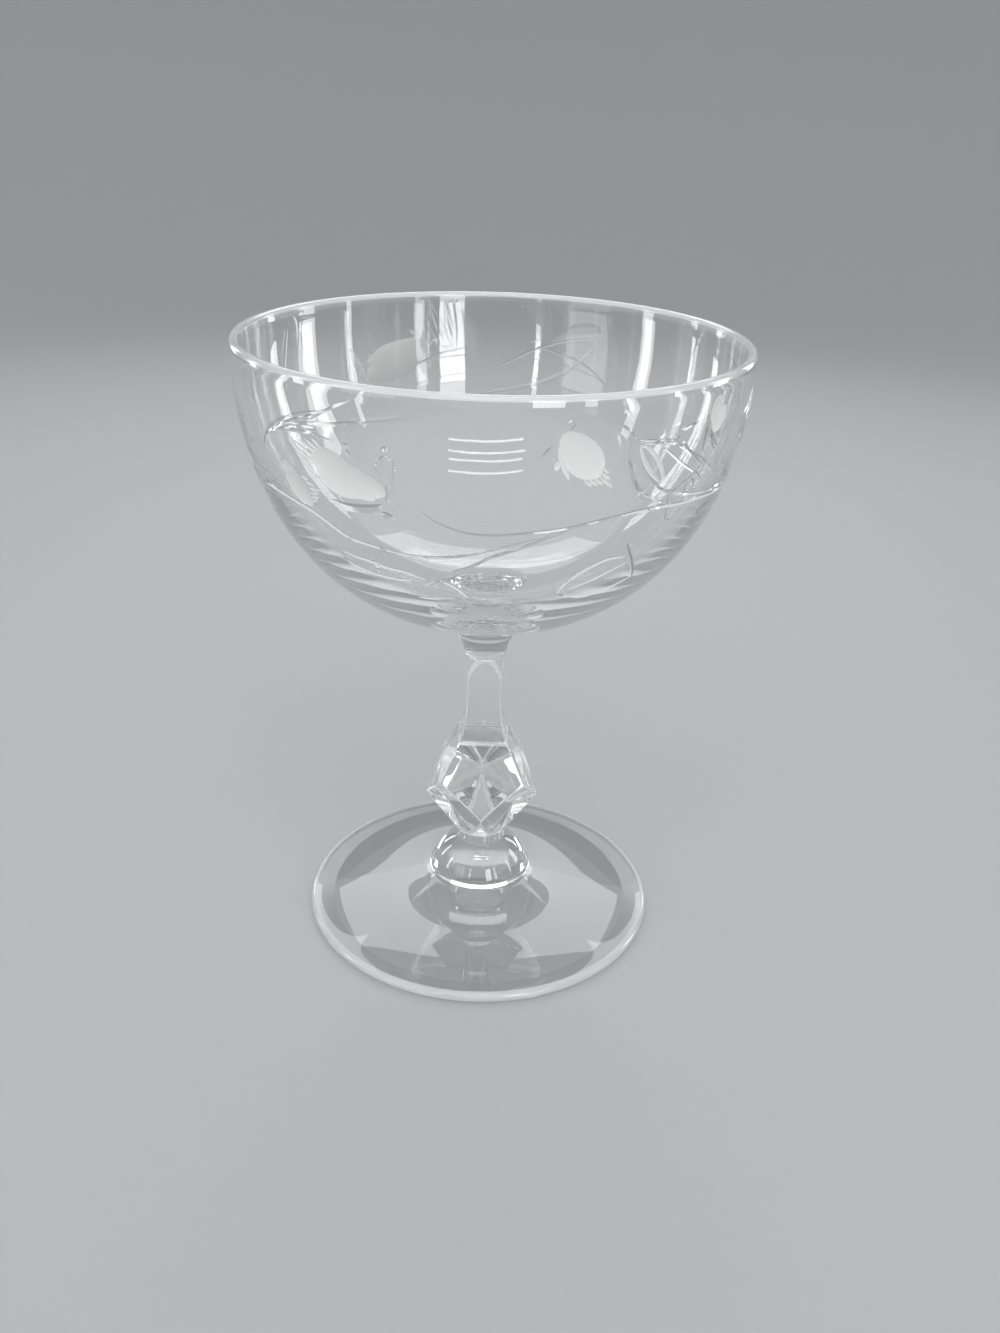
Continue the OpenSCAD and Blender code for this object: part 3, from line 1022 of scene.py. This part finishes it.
# studio: a round sweep of pale paper under and behind the glass
studio = {
    "floorRadius": 620.0, "bend": 380.0, "wall": 560.0, "gap": 0.03, "stepsAround": 96, "bendSteps": 24,
    "paper": "B6B7B8", "toothSize": 0.9, "toothHeight": 0.02,
}


def makePaper(size):
    # seamless paper: matte, with a faint tooth
    material, tree = newMaterial("seamlessPaper")
    where = addNode(tree, "ShaderNodeTexCoord")
    tooth = addNode(tree, "ShaderNodeTexNoise", None, {
        "Vector": where.outputs["Object"], "Scale": 1 / (size["toothSize"] * mm), "Detail": 3.0,
    })
    ripple = addNode(tree, "ShaderNodeBump", None, {
        "Strength": 0.25, "Distance": size["toothHeight"] * mm, "Height": tooth.outputs["Fac"],
    })
    paper = addNode(tree, "ShaderNodeBsdfPrincipled", None, {
        "Base Color": hexColour(size["paper"]), "Roughness": 0.9, "Specular IOR Level": 0.15,
        "Normal": ripple.outputs["Normal"],
    })
    addNode(tree, "ShaderNodeOutputMaterial", None, {"Surface": paper.outputs["BSDF"]})
    return material


def makeStudio(size):
    materials["seamlessPaper"] = makePaper(size)
    sweep = arc(size["floorRadius"], size["bend"] - size["gap"], size["bend"], -90, 0, size["bendSteps"])
    wall = [(size["floorRadius"] + size["bend"], size["wall"])]
    mesh = turned([(0, -size["gap"])] + sweep + wall, size["stepsAround"], "seamlessPaper")
    for face in mesh.polygons:
        face.use_smooth = True
    mesh.flip_normals()  # the paper faces the glass inside it
    mesh.transform(Matrix.Scale(mm, 4))
    paper = bpy.data.objects.new("paperSweep", mesh)
    scene.collection.objects.link(paper)
    print("studio: paper sweep", 2 * size["floorRadius"], "mm across")


makeStudio(studio)

# lamps: an overhead pair of tubes, a panel above and behind, and two soft fronts; each stands at an azimuth
# from the front to the right and a rise, in degrees, and a reach in mm; the size of its face is in mm, and
# glow is how bright the face is
lamps = {
    "lowTube": {"at": (4.0, 50.0, 700.0), "size": (480, 18), "glow": 22.0, "spread": 150},
    "highTube": {"at": (4.0, 57.0, 700.0), "size": (480, 18), "glow": 22.0, "spread": 150},
    "backPanel": {"at": (180.0, 38.0, 640.0), "size": (520, 240), "glow": 4.2, "spread": 140},
    "frontPanel": {"at": (30.0, 8.0, 540.0), "size": (240, 260), "glow": 5.0, "spread": 70},
    "leftPanel": {"at": (-50.0, 8.0, 560.0), "size": (240, 260), "glow": 4.6, "spread": 70},
}
# cards: lit strips round the glass that only its mirroring walls show; they give no light
cards = {
    "lowTube": {"at": (4.0, 50.0, 700.0), "size": (480, 16), "glow": 22.0},
    "highTube": {"at": (4.0, 57.0, 700.0), "size": (480, 16), "glow": 22.0},
    "backPanel": {"at": (180.0, 38.0, 640.0), "size": (520, 240), "glow": 3.6},
    "frontBroad": {"at": (22.0, 6.5, 520.0), "size": (120, 260), "glow": 9.0},
    "frontNarrow": {"at": (39.0, 6.5, 520.0), "size": (46, 260), "glow": 6.0},
    "frontStrip": {"at": (-23.0, 10.0, 560.0), "size": (24, 240), "glow": 9.0},
    "leftBroad": {"at": (-50.0, 6.5, 560.0), "size": (230, 260), "glow": 2.0},
    "leftStrip": {"at": (-84.0, 6.0, 570.0), "size": (62, 270), "glow": 8.0},
    "leftRear": {"at": (-116.0, 6.0, 580.0), "size": (56, 270), "glow": 7.5},
    "leftFar": {"at": (-139.0, 6.0, 590.0), "size": (60, 270), "glow": 6.5},
    "rightStrip": {"at": (79.0, 6.0, 570.0), "size": (26, 270), "glow": 9.0},
    "rightBroad": {"at": (107.0, 6.0, 580.0), "size": (120, 270), "glow": 7.0},
    "rightRear": {"at": (136.0, 6.0, 590.0), "size": (70, 270), "glow": 6.5},
}
lampAim = 90.0  # height that every lamp and card points at
roomLight = {"colour": "F2F3F4", "strength": 0.82}
mirrorings = {"middle": 2.0, "within": 1.1}  # a card shows after one to three of them


def standing(row):
    # direction from the aim to a lamp or card, and its place in mm
    azimuth, rise, reach = row["at"]
    turn, rise = radians(azimuth), radians(rise)
    toward = Vector((sin(turn) * cos(rise), -cos(turn) * cos(rise), sin(rise)))
    return toward, Vector((0, 0, lampAim)) + toward * reach


def makeLamps(rows):
    for name, lamp in rows.items():
        toward, place = standing(lamp)
        width, height = lamp["size"][0] * mm, lamp["size"][1] * mm
        half = radians(lamp["spread"]) / 2
        data = bpy.data.lights.new(name, "AREA")
        data.shape = "RECTANGLE"
        data.size, data.size_y = width, height
        data.spread = 2 * half
        # a narrow spread gathers the light, so the same face needs less of it
        data.energy = lamp["glow"] * pi * width * height * (1 - half / tan(half))
        item = bpy.data.objects.new(name, data)
        item.location = place * mm
        item.rotation_mode = "QUATERNION"
        item.rotation_quaternion = (-toward).to_track_quat("-Z", "Y")
        item.visible_camera = False
        item.visible_glossy = False  # the glass shows the cards, not the lamps
        item.visible_transmission = False
        scene.collection.objects.link(item)
    world = bpy.data.worlds.new("studioRoom")
    world.use_nodes = True
    room = next(n for n in world.node_tree.nodes if n.type == "BACKGROUND")
    room.inputs["Color"].default_value = hexColour(roomLight["colour"])
    room.inputs["Strength"].default_value = roomLight["strength"]
    scene.world = world
    print("lamps:", ", ".join(rows))


def makeCardFace():
    # lit card: shows only in what the glass mirrors, and is clear to every other ray
    material, tree = newMaterial("litCard")
    material.cycles.emission_sampling = "NONE"
    path = addNode(tree, "ShaderNodeLightPath")
    mirrored = addNode(tree, "ShaderNodeMath", {"operation": "COMPARE"}, {
        0: path.outputs["Glossy Depth"], 1: mirrorings["middle"], 2: mirrorings["within"],
    })
    glow = addNode(tree, "ShaderNodeAttribute", {"attribute_name": "glow"})
    face = addNode(tree, "ShaderNodeEmission", None, {"Color": (1, 1, 1, 1), "Strength": glow.outputs["Fac"]})
    clear = addNode(tree, "ShaderNodeBsdfTransparent", None, {"Color": (1, 1, 1, 1)})
    mixed = addNode(tree, "ShaderNodeMixShader", None, {
        0: mirrored.outputs["Value"], 1: clear.outputs["BSDF"], 2: face.outputs["Emission"],
    })
    addNode(tree, "ShaderNodeOutputMaterial", None, {"Surface": mixed.outputs["Shader"]})
    return material


def makeCards(rows):
    corners = ((-1, -1), (1, -1), (1, 1), (-1, 1))
    points, faces, glows = [], [], []
    for card in rows.values():
        toward, middle = standing(card)
        aside = Vector((-toward.y, toward.x, 0)).normalized() * card["size"][0] / 2
        upward = toward.cross(aside).normalized() * card["size"][1] / 2
        faces.append([len(points) + i for i in range(4)])
        points += [(middle + aside * x + upward * y) * mm for x, y in corners]
        glows.append(card["glow"])
    mesh = bpy.data.meshes.new("mirrorCards")
    mesh.from_pydata(points, [], faces)
    mesh.attributes.new("glow", "FLOAT", "FACE").data.foreach_set("value", glows)
    mesh.materials.append(makeCardFace())
    item = bpy.data.objects.new("mirrorCards", mesh)
    item.visible_camera = False
    item.visible_diffuse = False
    item.visible_shadow = False
    scene.collection.objects.link(item)
    print("cards:", ", ".join(rows))


makeLamps(lamps)
makeCards(cards)
